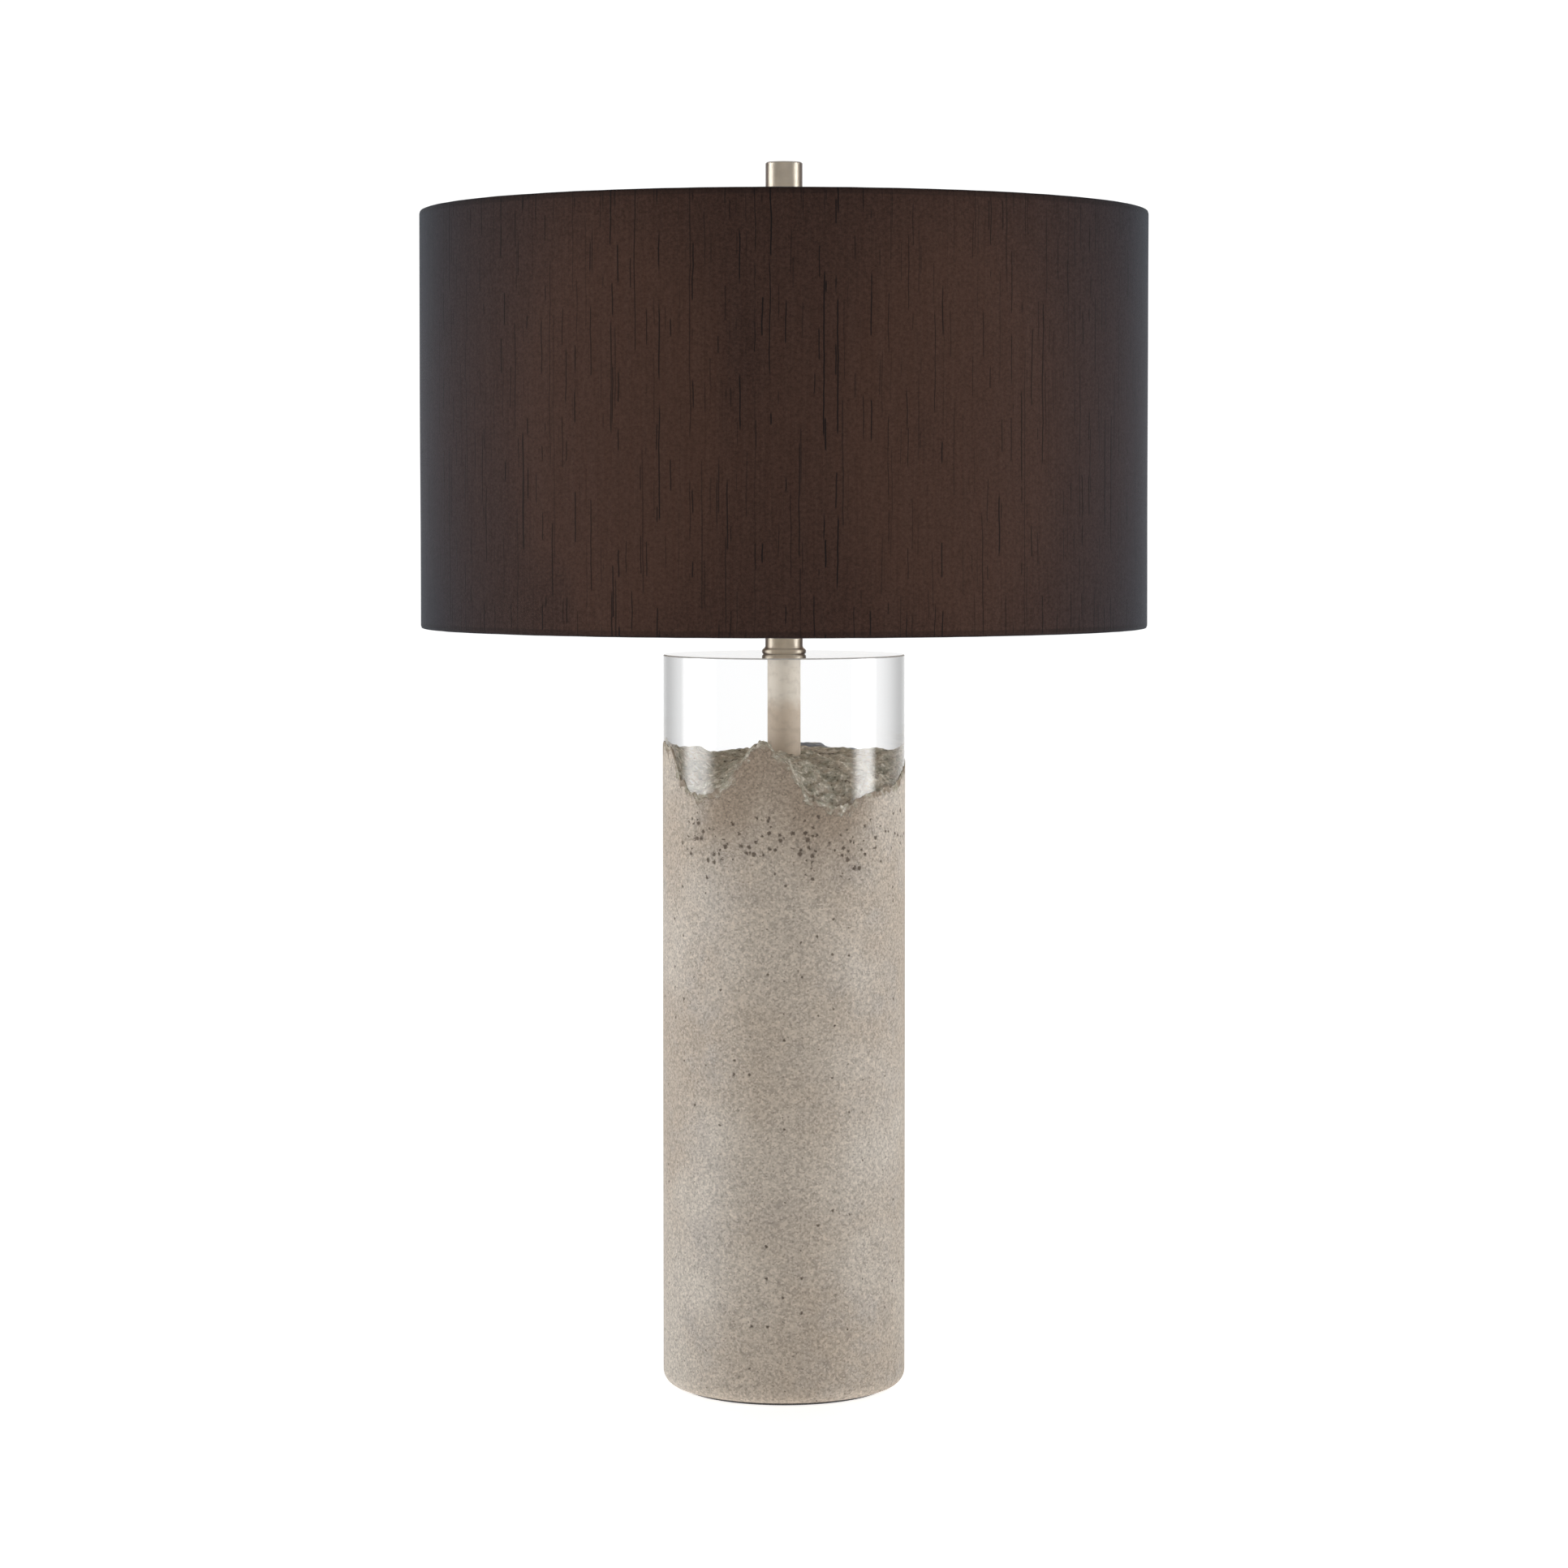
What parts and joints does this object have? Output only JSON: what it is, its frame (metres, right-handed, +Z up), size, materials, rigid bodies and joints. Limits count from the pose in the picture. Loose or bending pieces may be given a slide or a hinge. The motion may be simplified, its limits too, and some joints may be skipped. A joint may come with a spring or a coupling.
{
  "type": "table lamp",
  "caption": "Table lamp with a concrete column that breaks off into a clear cast top, and a dark drum shade on a harp.",
  "frame": {"origin": "centre of the underside, on the table", "axes": "+Z up along the column; -Y is the front, with the switch knob; +Y is the back, with the cord outlet"},
  "size_m": [0.457, 0.457, 0.7727],
  "materials": {
    "felt": "pressed felt",
    "concrete": "cast concrete, matt, with pinholes",
    "clear_cast": "polished clear casting",
    "zinc_steel": "zinc plated",
    "brushed_nickel": "brushed nickel plate",
    "brass": "plain",
    "black_plastic": "moulded, satin",
    "sleeve_finish": "satin cream",
    "insulator_board": "vulcanised fibre",
    "bulb_glass": "frosted inside",
    "bulb_cap_metal": "rolled, plain",
    "bulb_black_glass": "opaque",
    "bulb_solder": "solder",
    "stem_glass": "clear",
    "filament_metal": "drawn tungsten and nickel wire",
    "shade_liner": "translucent styrene sheet",
    "shade_cloth": "dark brown slubbed weave"
  },
  "bodies": {
    "lamp": {"felt_pad": "felt", "concrete_body": "concrete", "clear_top": "clear_cast", "base_plate": "zinc_steel", "flat_washer": "zinc_steel", "lock_washer": "zinc_steel", "rod_nut": "zinc_steel", "threaded_rod": "zinc_steel", "rod_sleeve": "sleeve_finish", "cord_bushing": "black_plastic", "collar_ring": "brushed_nickel", "neck_tube": "brushed_nickel", "neck_cap": "brushed_nickel", "harp_saddle": "brushed_nickel", "saddle_nut": "zinc_steel", "harp_loop": "brushed_nickel", "harp_stud": "brushed_nickel", "socket_cap": "brushed_nickel", "socket_set_screw": "brass", "socket_shell": "brushed_nickel", "socket_insulator": "insulator_board", "socket_body": "black_plastic", "live_terminal_screw": "brass", "neutral_terminal_screw": "brushed_nickel", "lampholder_shell": "brass", "centre_contact": "brass"},
    "ferrule_left": {"harp_ferrule_left": "brushed_nickel"},
    "ferrule_right": {"harp_ferrule_right": "brushed_nickel"},
    "switch": {"switch_shaft": "brass", "switch_knob": "black_plastic"},
    "bulb": {"bulb_globe": "bulb_glass", "bulb_screw_cap": "bulb_cap_metal", "bulb_insulator": "bulb_black_glass", "bulb_tip": "bulb_solder", "bulb_stem": "stem_glass", "bulb_filament": "filament_metal"},
    "shade": {"spider_washer": "brushed_nickel", "spider_arms": "brushed_nickel", "shade_top_ring": "zinc_steel", "shade_bottom_ring": "zinc_steel", "shade_liner": "shade_liner", "shade_fabric": "shade_cloth"},
    "finial": {"finial": "brushed_nickel"}
  },
  "joints": [
    {"name": "shade_turn", "type": "hinge", "parent": "lamp", "child": "shade", "pos_m": [0, 0, 0.728], "axis": [0, 0, 1], "continuous": true},
    {"name": "finial_screw", "type": "hinge", "parent": "lamp", "child": "finial", "pos_m": [0, 0, 0.74], "axis": [0, 0, 1], "continuous": true},
    {"name": "bulb_screw", "type": "hinge", "parent": "lamp", "child": "bulb", "pos_m": [0, 0, 0.56], "axis": [0, 0, 1], "continuous": true},
    {"name": "switch_turn", "type": "hinge", "parent": "lamp", "child": "switch", "pos_m": [0, -0.02, 0.535], "axis": [0, -1, 0], "continuous": true},
    {"name": "left_ferrule_slide", "type": "slide", "parent": "lamp", "child": "ferrule_left", "axis": [0, 0, 1], "range_m": [0, 0.015]},
    {"name": "right_ferrule_slide", "type": "slide", "parent": "lamp", "child": "ferrule_right", "axis": [0, 0, 1], "range_m": [0, 0.015]}
  ]
}
